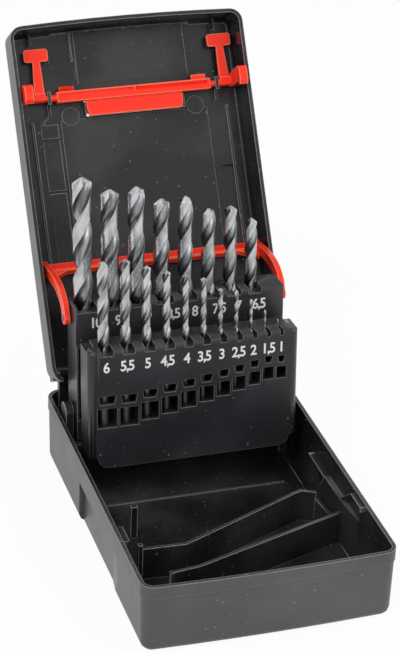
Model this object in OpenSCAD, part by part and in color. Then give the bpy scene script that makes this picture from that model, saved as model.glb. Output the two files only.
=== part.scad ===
// Folding drill bit case. A deep base, a lid on two hinge pins, a two-row bit
// holder that stands up as the lid opens, the bail that links it to the lid,
// a rocking latch and nineteen twist drills, each a piece of its own.
// Millimetres, +Z up, +Y to the hinge side. The origin is under the middle of
// the base. Everything is drawn as it stands with the lid fully open.

/* [Case] */
// Width of the case at the rim
case_w = 128; // [126:0.5:140]
// Length of the case at the rim
case_l = 188; // [186:1:200]
// Height of the base
base_h = 38; // [37:0.5:44]
// Depth of the lid
lid_h = 20; // [20:0.5:24]
// Thickness of the outer walls
wall = 2; // [1.6:0.1:2.2]
// Thickness of the base floor
floor_t = 2.4; // [1.6:0.2:2.8]
// Corner radius at the hinge side, seen from above
corner_rear = 8.5; // [7:0.5:10]
// Corner radius at the front, seen from above
corner_front = 6.5; // [5:0.5:9]
// Radius of the outer bottom edge of the base and top edge of the lid
edge_r = 4; // [3:0.5:5]
// How much each side of the base leans in from the rim to the floor
draft = 1.1; // [0.6:0.1:1.4]
// How much each side of the lid leans in from the rim to its top
lid_draft = 0.5; // [0.2:0.1:0.7]
// How far the front walls bow out in the middle
front_bow = 1.6; // [0:0.2:3]
// Height of the raised band along the outside of the rim
band_h = 7; // [5:0.5:10]
// How far the band stands out from the wall below it
band_t = 0.3; // [0.2:0.05:0.5]

/* [Finger recesses] */
// Depth of the recess in each side wall
grip_depth = 2.4; // [1.4:0.1:2.8]
// Length of the recess along the wall at its full depth
grip_l = 55.5; // [50:0.5:58]
// Length of the ramp at the front end of the recess
grip_ramp = 16.5; // [12:0.5:18]
// Height of the recess from the table
grip_h = 24; // [20:1:26]
// Middle of the recess, forward of the middle of the case
grip_fwd = 3.2; // [2:0.1:8]

/* [Lid hinge] */
// Angle between the closed and the open lid
lid_open = 122; // [115:1:123]
// Hinge line, in from the rear face
hinge_in = 5.8; // [5.6:0.1:6.2]
// Hinge line, above the rim
hinge_up = 13.2; // [12.8:0.1:13.6]
// Diameter of the hinge pins
hinge_pin_d = 3; // [2.4:0.1:3.2]
// Outer radius of the hinge knuckles
knuckle_r = 3.2; // [2.8:0.1:3.4]
// Width of each base knuckle
ear_w = 6; // [5:0.5:7]
// Middle of each base knuckle, in from the side of the case
ear_in = 9; // [8.5:0.5:10]
// Gap between the rims of the closed case
rim_gap = 0.1; // [0.05:0.05:0.3]
// Side gap between a base knuckle and the lid lugs
ear_gap = 0.6; // [0.4:0.1:0.8]
// Radial play of the hinge pins in the base knuckles
hinge_play = 0.05; // [0.03:0.01:0.09]

/* [Holder pivot] */
// Pivot line of the bit holder, in from the rear face
fold_in = 28.8; // [28.4:0.1:29.2]
// Pivot line of the bit holder, above the rim
fold_up = 3.2; // [2.8:0.1:3.8]
// Diameter of the moulded pivot stubs
stub_d = 6; // [5:0.2:6.4]
// Radial play of the stubs in their blocks
stub_play = 0.06; // [0.03:0.01:0.09]
// Pivot line above the bottom of the holder
pivot_u = 18.5; // [18:0.1:19]
// Pivot line behind the front of the holder
pivot_v = 32.85; // [32.4:0.05:33.2]
// Lean of the standing holder
holder_lean = 4.5; // [4:0.1:5]

/* [Holder] */
// Room between the holder and each outer side of the case
rack_in = 8; // [7.75:0.25:8.5]
// Radius of the rounded columns at both ends of the front rack
column_r = 4.5; // [4:0.25:5]
// Radius of the front panel's lower corners
foot_r = 6; // [5:0.5:7]
// Depth of the front rack
front_d = 16; // [15:0.5:17]
// Height of the front rack
front_h = 66; // [64:1:68]
// Front of the back rack, behind the front panel
back_v = 24; // [23.5:0.1:24.5]
// Rear face of the back rack, behind the front panel
holder_d = 41.8; // [41.6:0.05:41.9]
// Bottom of the back rack, above the bottom of the front one
back_foot = 3; // [2.6:0.1:4]
// Height of the back rack
back_h = 79; // [77:1:81]
// Set-back of the back rack's label face
label_back = 2.5; // [1.5:0.1:3]
// Wall thickness of the racks
rack_t = 1.8; // [1.4:0.1:2.2]
// Thickness of the webs between the bits
web_t = 1.2; // [0.8:0.1:1.6]
// Thickness of the guide plates that hold the bits upright
guide_t = 6; // [4.5:0.5:7]
// Depth of the seats that the bit shanks stand in
seat_t = 3; // [2:0.5:4]
// Radial play of the bits in the holder
bit_play = 0.2; // [0.15:0.05:0.3]

/* [Bits] */
// Thickest bit of the front row
front_big = 6; // [6:0.5:6]
// Thickest bit of the back row
back_big = 10; // [10:0.5:10]
// Step from one bit to the next
bit_step = 0.5; // [0.5:0.5:0.5]
// Width of the holder beyond the first and last axis of the front row, both ends together
front_ends = 19.3; // [18.5:0.1:21]
// Width of the holder beyond the first and last axis of the back row, both ends together
back_ends = 22.05; // [21.35:0.05:23.45]
// How far the back row sits to the left of the middle
back_shift = 4.5; // [4.1:0.1:4.9]
// Axis of the front row behind the front panel
front_axis = 7.5; // [7:0.1:8]
// Axis of the back row behind the front panel
back_axis = 35; // [34.5:0.1:35.4]
// Lowest seat of the front row, above the bottom of the holder
front_floor = 19; // [18:0.5:20]
// Rise of the seats from bit to bit
floor_step = 2; // [1.6:0.1:2.2]
// Seat of the back row, above the bottom of the holder
back_floor = 14; // [13:0.5:15]

/* [Bail] */
// Pivot of the bail above the bottom of the holder
bail_u = 70.2; // [70:0.1:70.6]
// Pivot of the bail behind the front of the holder
bail_v = 36.2; // [36:0.1:36.4]
// Distance between the bail's pivot line and its pins
bail_l = 46.7; // [46.4:0.1:46.9]
// Angle of the standing bail above level
bail_rise = 7.9; // [7:0.1:9]
// How far the arms arch above the line from their pivots to their pins
arm_rise = 8; // [4:0.5:9]
// Thickness of the bail's arms
arm_t = 3; // [2.4:0.1:3.2]
// Height of the arms at their pivots
arm_h = 6.5; // [6:0.1:7]
// Width of the crossbar
bar_w = 7; // [6:0.2:7.4]
// Thickness of the crossbar
bar_t = 2.6; // [2.2:0.1:2.8]
// Diameter of the bail's pivots
bail_pin_d = 4; // [3.6:0.1:4]

/* [Latch] */
// Latch axis, behind the front of the case
latch_in = 37.4; // [36.5:0.1:38]
// Latch axis, above the rim of the closed case
latch_up = 13.2; // [13:0.1:13.6]
// Diameter of the latch journals
latch_d = 3.8; // [3.4:0.1:4]
// Radial play of the journals in the lid's bearings
latch_play = 0.06; // [0.03:0.01:0.09]
// Ends of the thick middle of the latch, in from the sides of the case
beam_in = 21.5; // [20.5:0.5:23]
// Half thickness of the thick middle
beam_b = 2.8; // [2.4:0.1:3]
// How far the middle and the pad sit to the right of the centre line
latch_shift = 2.2; // [0:0.1:2.4]
// Width of the push pad
pad_w = 52; // [46:1:54]
// Length of the push pad away from the beam
pad_l = 6.6; // [6:0.1:7.4]
// Lip of the pad that closes the gap round its window
pad_lip = 1.7; // [1.2:0.1:2]
// Reach of the hooks below the rim of the closed case
hook_reach = 6; // [5.5:0.1:6.5]
// Overlap of each hook under its catch
hook_bite = 2; // [1.6:0.1:2.1]
// Thickness of the spring arms
spring_t = 1.4; // [1.2:0.1:1.6]

/* [Accessory pocket] */
// Height of the pocket walls above the table
pocket_h = 20; // [16:0.5:21]
// Thickness of the pocket walls
pocket_t = 1.6; // [1.2:0.1:2]

/* [Hidden] */
$fn = 48;

black = [0.11, 0.11, 0.11];
dark = [0.19, 0.18, 0.21];
red = [0.95, 0.22, 0.12];
steel = [0.62, 0.62, 0.64];
e = 0.01;

rear_y = case_l / 2;
half_w = case_w / 2;
rack_w = case_w - 2 * rack_in;
panel_w = rack_w - 2 * column_r;
beam_l = case_w - 2 * beam_in;
ear_x = half_w - ear_in;
hinge_y = rear_y - hinge_in;
hinge_z = base_h + hinge_up;
fold_y = rear_y - fold_in;
fold_z = base_h + fold_up;
lid_top = base_h + lid_h;
lid_in = lid_top - wall;
rack_x = rack_w / 2;

// ---- outlines of the mouldings, as rings of points --------------------
corner_n = 6;
front_n = 5;
// Bowed front: a point's own Y plus the bow at its X
function bowed(p) = [p[0], p[1] - front_bow * (1 - pow(p[0] / half_w, 2))];
function arc(cx, cy, r, a0) =
    [for (i = [0:corner_n]) [cx + r * cos(a0 + 90 * i / corner_n),
                             cy + r * sin(a0 + 90 * i / corner_n)]];
// Outline of the case moved in by "inset", anticlockwise from the rear right
function ring(inset) =
    let (rr = max(corner_rear - inset, 1.5), rf = max(corner_front - inset, 1.5),
         w = half_w - inset, l = rear_y - inset)
    concat(
        arc(w - rr, l - rr, rr, 0),
        arc(-w + rr, l - rr, rr, 90),
        [for (p = arc(-w + rf, -l + rf, rf, 180)) bowed(p)],
        [for (i = [1:front_n]) bowed([(-w + rf) + 2 * (w - rf) * i / (front_n + 1), -l])],
        [for (p = arc(w - rf, -l + rf, rf, 270)) bowed(p)]);

// Solid through a stack of rings, given as [z, inset] from the bottom up
module loft(levels) {
    n = len(ring(0));
    m = len(levels);
    pts = [for (k = levels) for (p = ring(k[1])) [p[0], p[1], k[0]]];
    sides = [for (k = [0:m - 2]) for (i = [0:n - 1])
        let (a = k * n + i, b = k * n + (i + 1) % n)
        for (t = [[a, a + n, b + n], [a, b + n, b]]) t];
    bottom = [for (i = [0:n - 1]) i];
    top = [for (i = [n - 1:-1:0]) (m - 1) * n + i];
    polyhedron(pts, concat([bottom, top], sides));
}

// Levels of a rounded bottom edge of radius r at height z, on inset s
function foot(z, r, s) = [for (a = [0, 30, 60]) [z + r * (1 - cos(a)), s + r * (1 - sin(a))]];
function lean_at(z) = draft * (1 - z / base_h);

// ---- frames ------------------------------------------------------------
// Lid and latch are drawn closed and swung open about the hinge line
module lid_frame() {
    translate([0, hinge_y, hinge_z])
        rotate([-lid_open, 0, 0])
            translate([0, -hinge_y, -hinge_z])
                children();
}
// Holder frame: X across, Y behind the front panel, Z up along the bits
module holder_frame() {
    translate([0, fold_y, fold_z])
        rotate([-holder_lean, 0, 0])
            translate([0, -pivot_v, -pivot_u])
                children();
}
// Bail frame: Y along the arms from the pivot to the pins
module bail_frame() {
    holder_frame()
        translate([0, bail_v, bail_u])
            rotate([bail_rise + holder_lean, 0, 0])
                children();
}
module both_sides() {
    children();
    mirror([1, 0, 0]) children();
}
module x_cyl(d, x0, x1) {
    translate([x0, 0, 0]) rotate([0, 90, 0]) cylinder(d = d, h = x1 - x0);
}
// Plate across X between x0 and x1, drawn as an outline of [y, z] points
module side_plate(x0, x1, outline) {
    translate([x0, 0, 0]) rotate([90, 0, 90]) linear_extrude(x1 - x0) polygon(outline);
}
// Upright wall through a row of [x, y] points, mitred at its bends
function seg_n(p, i) = let (d = p[i + 1] - p[i]) [-d[1], d[0]] / norm(d);
function mitre(p, i) =
    let (a = seg_n(p, max(i - 1, 0)), b = seg_n(p, min(i, len(p) - 2))) (a + b) / (1 + a * b);
module fence(path, t, z0, z1) {
    n = len(path) - 1;
    translate([0, 0, z0]) linear_extrude(z1 - z0) polygon(concat(
        [for (i = [0:n]) path[i] + mitre(path, i) * t / 2],
        [for (i = [n:-1:0]) path[i] - mitre(path, i) * t / 2]));
}

// ---- base ---------------------------------------------------------------
grip_y0 = -grip_fwd - grip_l / 2;
grip_y1 = -grip_fwd + grip_l / 2;
grip_x = half_w - draft - grip_depth;
block_r = stub_d / 2 + 2.4;
block_x0 = rack_x + 1;
block_x1 = half_w - wall - lid_draft - 0.5;
catch_z = base_h - hook_reach + 3.3;
catch_y = -rear_y + latch_in + 2.6;
stem_back = min(2.1, hinge_in - 3.4);
post_x = -0.645 * half_w;
// Point at shares of the half width and half length
function at(a, b) = [a * half_w, b * rear_y];

module base_shell() {
    color(black)
    difference() {
        union() {
            difference() {
                loft(concat(foot(0, edge_r, draft),
                    [[edge_r, lean_at(edge_r)],
                     [base_h - band_h, lean_at(base_h - band_h) + band_t],
                     [base_h - band_h + band_t, 0],
                     [base_h, 0]]));
                loft(concat(foot(floor_t, edge_r - wall + 0.5, draft + wall),
                    [[floor_t + edge_r, lean_at(edge_r) + wall],
                     [base_h + 1, wall]]));
            }
            // Walls behind the finger recesses
            both_sides() translate([0, 0, 1]) linear_extrude(grip_h + wall - 1)
                polygon([[grip_x - wall, grip_y1 + wall], [grip_x - wall, grip_y0 - 1],
                         [grip_x + grip_depth - wall, grip_y0 - grip_ramp],
                         [half_w - wall / 2 - draft, grip_y0 - grip_ramp],
                         [half_w - wall / 2 - draft, grip_y1 + wall]]);
            // Blocks that carry the holder's stubs
            both_sides() pivot_block();
            both_sides() hinge_ear();
            both_sides() latch_catch();
            pocket();
            base_ribs();
        }
        both_sides() translate([0, 0, -1]) linear_extrude(grip_h + 1)
            polygon([[grip_x, grip_y0], [grip_x + grip_depth + 0.2, grip_y0 - grip_ramp],
                     [half_w + 3, grip_y0 - grip_ramp], [half_w + 3, grip_y1], [grip_x, grip_y1]]);
        both_sides() translate([0, fold_y, fold_z])
            x_cyl(stub_d + 2 * stub_play, block_x0 - 1, block_x1 - 0.8);
        both_sides() translate([0, hinge_y, hinge_z])
            x_cyl(hinge_pin_d + 2 * hinge_play, ear_x - ear_w / 2 - 1, ear_x + ear_w / 2 + 1);
    }
}
module pivot_block() {
    translate([0, fold_y, fold_z]) x_cyl(2 * block_r, block_x0, block_x1);
    translate([block_x0, fold_y - block_r, floor_t - 0.5])
        cube([block_x1 - block_x0, 2 * block_r, fold_z - floor_t + 0.5]);
    translate([block_x0, fold_y - block_r, floor_t - 0.5])
        cube([half_w - wall / 2 - draft - block_x0, 2 * block_r, base_h - floor_t - 0.5]);
}
module hinge_ear() {
    y0 = hinge_y - 1;
    translate([0, hinge_y, hinge_z])
        x_cyl(2 * knuckle_r, ear_x - ear_w / 2, ear_x + ear_w / 2);
    side_plate(ear_x - ear_w / 2, ear_x + ear_w / 2,
        [[y0, base_h - 16], [rear_y - wall / 2, base_h - 20], [rear_y - wall / 2, base_h - 0.5],
         [hinge_y + stem_back, base_h + 2], [hinge_y + stem_back, hinge_z], [y0, hinge_z]]);
}
module latch_catch() {
    side_plate(half_w - wall - 3.2, half_w - wall / 2,
        [[catch_y, catch_z], [catch_y + 14, catch_z], [catch_y + 24, catch_z - 8],
         [catch_y + 27, catch_z - 8], [catch_y + 14, base_h - 0.4], [catch_y + 1, base_h - 0.4]]);
}
// Slanting pocket for a small tool, clear of the tips of the folded bits
module pocket() {
    p = pocket_t;
    left = at(-0.766, -0.383);
    near = at(-0.609, -0.628);
    fence([left, at(-0.391, -0.394), at(0.641, -0.074), at(0.719, -0.053), at(0.831, -0.09)],
        p, floor_t - 0.5, pocket_h);
    translate([left[0] - 0.4, left[1] - 1.2, floor_t - 0.5])
        cube([2.2, 2.5, pocket_h + 3 - floor_t]);
    fence([near, at(-0.375, -0.606), at(0.875, -0.319), at(0.9375, -0.298)],
        p, floor_t - 0.5, pocket_h);
    fence([at(0.831, -0.09), at(0.875, -0.319)], p, floor_t - 0.5, pocket_h - 4);
    translate([near[0], near[1], floor_t - 0.5])
        cylinder(d = 2.6, h = pocket_h - floor_t + 0.5, $fn = 24);
}
module base_ribs() {
    // Divider between the two longest bits of the folded front row
    translate([post_x - 1.75, -1.2, floor_t - 0.5]) cube([3.5, 2.4, 19]);
    // Low step that the folded holder comes down on
    translate([-rack_x + 6, fold_y - 35.2, floor_t - 0.3]) cube([rack_w - 12, 1.2, 0.8]);
    // Gusset on the right side wall
    side_plate(half_w - wall - 4.4, half_w - wall / 2, [[17.5, 27], [-6.5, 26.6], [0.6, 16.2], [2, 16.2], [0, 24]]);
}

// ---- lid ------------------------------------------------------------------
latch_y = -rear_y + latch_in;
latch_z = base_h + latch_up;
pad_y1 = latch_y + beam_b + pad_l;
lug_in = ear_x - ear_w / 2 - ear_gap;
lug_out = ear_x + ear_w / 2 + ear_gap;
rail_x = rack_x - 2;
bearing_x = [latch_shift - beam_l / 2 - 4.2, latch_shift + beam_l / 2 + 3.8];
bearing_t = 1.8;

module lid_shell() {
    color(black) lid_frame()
    difference() {
        union() {
            difference() {
                loft(concat([[base_h + rim_gap, 0], [lid_top - edge_r, lid_draft]],
                    [for (a = [60, 30, 0]) [lid_top - edge_r * (1 - cos(a)),
                                            lid_draft + edge_r * (1 - sin(a))]]));
                loft([[base_h - 1, wall], [lid_in - edge_r + 1, lid_draft + wall],
                      [lid_in - 0.6, lid_draft + wall + 0.8], [lid_in, lid_draft + wall + 2]]);
            }
            both_sides() hinge_lugs();
            for (x = bearing_x) translate([x, 0, 0]) latch_bearing();
            lid_ribs();
        }
        // Relief that lets the rear rim roll past the base
        translate([-half_w - 1, 0, 0]) side_plate(0, case_w + 2,
            [[hinge_y, base_h - 1], [hinge_y, base_h + e], [rear_y + 1, base_h + 2.1],
             [rear_y + 1, base_h - 1]]);
        // Slots for the base knuckles
        both_sides() translate([lug_in, hinge_y + 3, base_h - 1])
            cube([lug_out - lug_in, hinge_in, lid_h + 2]);
        both_sides() translate([lug_in, hinge_y - 4, base_h - 1])
            cube([lug_out - lug_in, 8, lid_h - wall + 1]);
        // Holes for the hinge pins
        both_sides() translate([0, hinge_y, hinge_z])
            x_cyl(hinge_pin_d, lug_in - 10, half_w - 1.6);
        // Journal holes, open toward the inside so the latch snaps in
        translate([0, latch_y, latch_z])
            x_cyl(latch_d + 2 * latch_play, -half_w + wall + 4, half_w - wall - 4);
        // Window for the push pad
        translate([latch_shift - pad_w / 2 - 0.6, latch_y - 1, lid_in - 1])
            cube([pad_w + 1.2, pad_y1 + 1.2 - latch_y + 1, wall + 2]);
    }
}
module hinge_lugs() {
    for (s = [[lug_in - 2.2, lug_in], [lug_out, half_w - wall]]) {
        translate([0, hinge_y, hinge_z]) x_cyl(2 * knuckle_r, s[0], s[1]);
        side_plate(s[0], s[1] - 0.2,
            [[hinge_y - knuckle_r, hinge_z], [hinge_y, hinge_z - knuckle_r + 0.1],
             [rear_y - wall, hinge_z - knuckle_r + 0.1], [rear_y - wall + 0.4, lid_in + 0.5],
             [hinge_y - knuckle_r, lid_in + 0.5]]);
    }
}
module latch_bearing() {
    translate([-bearing_t / 2, latch_y - 3.4, latch_z - 2.4])
        cube([bearing_t, 6.8, lid_in - latch_z + 2.9]);
    translate([-bearing_t / 2, latch_y + 3, lid_in - 3]) cube([bearing_t, 6, 3.4]);
}
module lid_ribs() {
    z = lid_in;
    back = latch_y + beam_b + pad_l + pad_lip + 0.5;
    // Raised label panels
    translate([-pad_w / 2 - 0.3, -rear_y + wall + 1, z - 0.8])
        cube([pad_w + 9, latch_y - 7 + rear_y - wall - 1, 1.2]);
    translate([-beam_l / 2 + 4, back, z - 0.8]) cube([beam_l - 3.5, hinge_y - 22 - back, 1.2]);
    translate([-pad_w / 2 - 3, -rear_y + wall + 1.5, z - 1.8]) cube([1, 15, 2.2]);
    // Round bosses at the corners of the long panel
    for (x = [-beam_l / 2 + 9.5, beam_l / 2 - 6.2])
        translate([x, latch_y + 10, z - 1.6]) cylinder(r = 4.9, h = 2);
    // Guides beside the push pad
    for (x = [-pad_w / 2 - 2, pad_w / 2 + 1])
        translate([latch_shift + x, latch_y + 3.4, z - 4]) cube([1, pad_l + 1, 4.4]);
    // Rails that keep the bail in its channel
    both_sides() translate([rail_x - 0.7, latch_y + 12, z - 1.7])
        cube([1.4, fold_y - 33.8 - latch_y - 12, 2.1]);
    // Plateau beside the left rail, cut across twice
    for (y = [[latch_y + 13.6, latch_y + 21], [latch_y + 22.4, latch_y + 49],
              [latch_y + 50.4, fold_y - 34]])
        translate([-rail_x + 4.2, y[0], z - 1.5]) cube([9.4, y[1] - y[0], 1.9]);
    translate([-rail_x + 4.2, latch_y + 13.8, z - 1.5]) rotate([0, 0, -50]) cube([8, 1.2, 1.9]);
    // Cross rib beside the right rail
    translate([rail_x - 10.6, latch_y + 44, z - 1.4]) cube([10.4, 1, 1.8]);
    // Corner ribs
    both_sides() translate([half_w - 13.4, -rear_y + wall - 0.5, z - 6]) cube([1, 7, 6.4]);
}

// ---- hinge pins -------------------------------------------------------------
module hinge_pin() {
    color(steel) translate([0, hinge_y, hinge_z])
        x_cyl(hinge_pin_d, lug_in - 2.2, half_w - 1.6 - 0.1);
}
module hinge_pin_left() { mirror([1, 0, 0]) hinge_pin(); }
module hinge_pin_right() { hinge_pin(); }

// ---- bits --------------------------------------------------------------------
front_n_bits = 11;
back_n_bits = 8;
function front_size(i) = front_big - bit_step * i;
function back_size(i) = back_big - bit_step * i;
// Centre of a row's bit i, left to right, from the middle of its first bit
function run(big, gap, i) = i * (big + gap) - bit_step * i * i / 2;
front_span = rack_w - front_ends;
back_span = rack_w - back_ends;
// Space between neighbouring bits that fills a row's span
function gap_for(span, big, n) = (span + bit_step * n * n / 2) / n - big;
front_gap = gap_for(front_span, front_big, front_n_bits - 1);
back_gap = gap_for(back_span, back_big, back_n_bits - 1);
function front_x(i) = run(front_big, front_gap, i) - front_span / 2 + 0.05;
function back_x(i) = run(back_big, back_gap, i) - back_span / 2 - back_shift;
function front_seat(i) = front_floor + floor_step * min(max(i - 1, 0), front_n_bits - 3);

// Catalogue lengths of jobber drills by size in half millimetres, from 1 mm
length_of = [34, 40, 49, 57, 61, 70, 75, 80, 86, 93, 93, 101, 109, 109, 117, 117, 125, 125, 133];
flute_of = [12, 18, 24, 30, 33, 39, 43, 47, 52, 57, 57, 63, 69, 69, 75, 75, 81, 81, 87];
function cat(d) = round((d - 1) / 0.5);

// Half of the drill's cross-section, as shares of its radius
coarse = [1, 0.74, 0.34, 0.74];
fine = [1, 0.97, 0.46, 0.3, 0.46, 0.97];

module twist_bit(d) {
    total = length_of[cat(d)];
    flute = flute_of[cat(d)];
    half = d < 2.8 ? coarse : fine;
    prof = concat(half, half);
    n = len(prof);
    r = 0.97 * d / 2;
    tip = 0.6 * r;
    turn = 360 * flute / (5.4 * d);
    steps = ceil(turn / 36);
    z0 = total - flute;
    root = 0.3 * d;
    // Levels as [height, turn, share of the radius], rooted in the shank; the last is the point
    levels = concat([[z0 - root, -turn * root / flute, 1]],
                    [for (k = [1:steps]) [z0 + (flute - tip) * k / steps, turn * k / steps, 1]],
                    [[total, turn + 16, 0.16]]);
    m = len(levels);
    pts = [for (v = levels) for (i = [0:n - 1])
        let (q = prof[i] * v[2] * r, a = 360 * i / n + v[1] + 13)
        [q * cos(a), q * sin(a), v[0]]];
    sides = [for (k = [0:m - 2]) for (i = [0:n - 1])
        let (a = k * n + i, b = k * n + (i + 1) % n)
        for (t = [[a, a + n, b + n], [a, b + n, b]]) t];
    color(steel) union() {
        cylinder(d = d, h = z0);
        polyhedron(pts, concat([[for (i = [0:n - 1]) i]],
            [[for (i = [n - 1:-1:0]) (m - 1) * n + i]], sides));
    }
}
module front_bit(i) {
    holder_frame() translate([front_x(i), front_axis, front_seat(i)]) twist_bit(front_size(i));
}
module back_bit(i) {
    holder_frame() translate([back_x(i), back_axis, back_floor]) twist_bit(back_size(i));
}

// ---- holder --------------------------------------------------------------------
// Sizes of the openings in the front panel, by bit diameter
function window_w(d) = min(d + 4.4, d + front_gap - web_t);
function window_h(d) = 5.7 + 0.85 * d;
column_x = panel_w / 2;

module front_rack() {
    color(dark) holder_frame()
    difference() {
        union() {
            // Panel block with rounded lower corners
            translate([0, front_d, 0]) rotate([90, 0, 0]) linear_extrude(front_d)
                polygon(concat(
                    [for (a = [180:30:270]) [-panel_w / 2 + foot_r + foot_r * cos(a),
                                             foot_r + foot_r * sin(a)]],
                    [for (a = [270:30:360]) [panel_w / 2 - foot_r + foot_r * cos(a),
                                             foot_r + foot_r * sin(a)]],
                    [[panel_w / 2, front_h], [-panel_w / 2, front_h]]));
            // Rounded columns at both ends
            both_sides() translate([column_x, column_r, 6]) {
                cylinder(r = column_r, h = front_h - 7.6);
                translate([0, 0, front_h - 7.6])
                    cylinder(r1 = column_r, r2 = column_r - 1.4, h = 1.6);
            }
            both_sides() translate([column_x - 1, column_r, 6])
                cube([column_r + 1, front_d - column_r, front_h - 7.6]);
        }
        for (i = [0:front_n_bits - 1]) translate([front_x(i), 0, 0]) front_cell(i);
        // Lightening pocket under the seats, open to the rear
        translate([-panel_w / 2 + 6, rack_t, rack_t])
            cube([panel_w - 12, front_d, front_floor - 2 * rack_t - seat_t]);
        // Hollow backs of the columns
        both_sides() translate([column_x + rack_t - 0.4, column_r + 1, 6 + rack_t])
            cube([column_r - 2 * rack_t + 0.4, front_d, front_h - 6 - 2 * rack_t]);
    }
}
module front_cell(i) {
    d = front_size(i);
    seat = front_seat(i);
    hw = (d + front_gap - web_t) / 2;
    // Cell behind the panel, open to the rear
    translate([-hw, rack_t, seat + seat_t])
        cube([2 * hw, front_d, front_h - guide_t - seat - seat_t]);
    // Bore through the guide plate and blind seat below
    translate([0, front_axis, seat]) cylinder(d = d + 2 * bit_play, h = front_h);
    // Slot at the front edge of the guide plate
    translate([-d / 2 - bit_play, -1, front_h - 3])
        cube([d + 2 * bit_play, front_axis + 1, 4]);
    // Window with a tapered one above it
    w = window_w(d);
    h = window_h(d);
    z = seat + seat_t + 1;
    translate([-w / 2, -1, z]) cube([w, rack_t + 2, h]);
    translate([0, rack_t + 1, z + h + 2.4]) rotate([90, 0, 0]) linear_extrude(rack_t + 2)
        polygon([[-d / 2 - 0.7, 0], [d / 2 + 0.7, 0], [d / 2 + 1.5, 3.5 + 0.2 * d],
                 [-d / 2 - 1.5, 3.5 + 0.2 * d]]);
}

module back_rack() {
    rr = 8;
    color(dark) holder_frame()
    difference() {
        union() {
            // Body, stepped back at its label face and rounded at the rear foot
            side_plate(-rack_x, rack_x,
                [[back_v, back_foot + 3], [back_v, back_h - 21],
                 [back_v + label_back, back_h - 19], [back_v + label_back, back_h],
                 [holder_d, back_h],
                 for (a = [0:15:90]) [holder_d - rr + rr * cos(a), back_foot + rr - rr * sin(a)],
                 [back_v + 3, back_foot]]);
            // Webs that join the two racks
            both_sides() translate([rack_x - 5.5, front_d, 8])
                cube([1.6, back_v - front_d + 1, front_h - 14]);
            translate([-rack_x + 5, front_d, back_foot + 3.5])
                cube([rack_w - 10, back_v - front_d + 1, rack_t]);
            // Stubs of the holder's pivot and of the bail's pivot
            both_sides() translate([0, pivot_v, pivot_u]) x_cyl(stub_d, rack_x - 0.5, block_x1 - 1);
            both_sides() translate([0, bail_v, bail_u])
                x_cyl(bail_pin_d, rack_x - 0.5, rack_x + 0.7 + arm_t);
        }
        for (i = [0:back_n_bits - 1]) translate([back_x(i), 0, 0]) back_cell(i);
        // Slot low in each side wall
        both_sides() translate([rack_x - 1.5, holder_d - 3.6, 30.5]) cube([3, 1.5, 6]);
        // Lightening pocket under the seats, open to the front
        translate([-rack_x + 2.4, back_v - 1, back_foot + 3.5 + rack_t])
            cube([rack_w - 4.8, holder_d - back_v - rack_t - 4,
                  back_floor - rack_t - (back_foot + 3.5 + rack_t)]);
    }
}
module back_cell(i) {
    d = back_size(i);
    hw = (d + back_gap - web_t) / 2;
    x0 = max(-hw, -rack_x + 1.1 - back_x(i));
    // Cell in front of the rear wall, open to the front below the label face
    translate([x0, back_v - 1, back_floor + seat_t])
        cube([hw - x0, holder_d - back_v + 1 - rack_t, back_h - 21 - back_floor - seat_t]);
    translate([0, back_axis, back_floor]) cylinder(d = d + 2 * bit_play, h = back_h);
    // Slot at the front edge of the guide plate
    translate([-d / 2 - bit_play, back_v, back_h - 3])
        cube([d + 2 * bit_play, back_axis - back_v, 4]);
}

// ---- bail ----------------------------------------------------------------------
arm_x0 = rack_x + 0.7;
arm_x1 = arm_x0 + arm_t;
// Middle line of an arm, and its half width, at a share t of the way to the pins.
// The arm is slimmer than its rounded ends by the waist on each side.
tail = 2.5;
arm_waist = 0.15;
function arm_at(t) = [bail_l * t, arm_rise * sin(180 * pow(t, 0.6))];
function arm_half(t) = arm_h / 2 - arm_waist + (tail - arm_h / 2) * t;
function arm_edge(k, n, side) =
    let (t = k / n, d = arm_at(min(t + 0.01, 1)) - arm_at(max(t - 0.01, 0)))
    arm_at(t) + side * arm_half(t) * [-d[1], d[0]] / norm(d);
arm_n = 14;
module bail() {
    color(red) bail_frame()
    difference() {
        union() {
            both_sides() {
                x_cyl(arm_h, arm_x0, arm_x1);
                translate([0, bail_l, 0]) x_cyl(2 * tail, arm_x0, arm_x1);
                side_plate(arm_x0, arm_x1, concat([for (k = [0:arm_n]) arm_edge(k, arm_n, -1)],
                    [for (k = [arm_n:-1:0]) arm_edge(k, arm_n, 1)]));
                // Gusset in the corner between the arm and the crossbar
                translate([0, 0, -bar_t / 2]) linear_extrude(bar_t) polygon([
                    [arm_x0 + 0.5, bail_l - bar_w], [arm_x0 + 0.5, bail_l - bar_w - 6],
                    [arm_x0 - 2, bail_l - bar_w - 5], [arm_x0 - 10, bail_l - bar_w]]);
                translate([0, bail_l, 0]) x_cyl(bail_pin_d - 0.4, arm_x1 - 0.5, arm_x1 + 1.3);
            }
            translate([-arm_x1, bail_l - 0.5 - bar_w, -bar_t / 2]) cube([2 * arm_x1, bar_w, bar_t]);
            // Rib along the middle of the crossbar
            translate([-arm_x1, bail_l - bar_w, -bar_t / 2]) cube([2 * arm_x1, 1.2, bar_t + 0.6]);
        }
        both_sides() x_cyl(bail_pin_d + 0.12, arm_x0 - 1, arm_x1 + 1);
    }
}

// ---- latch ---------------------------------------------------------------------
hook_x0 = rack_x + 0.4;
hook_x1 = half_w - wall - 1;
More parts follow.
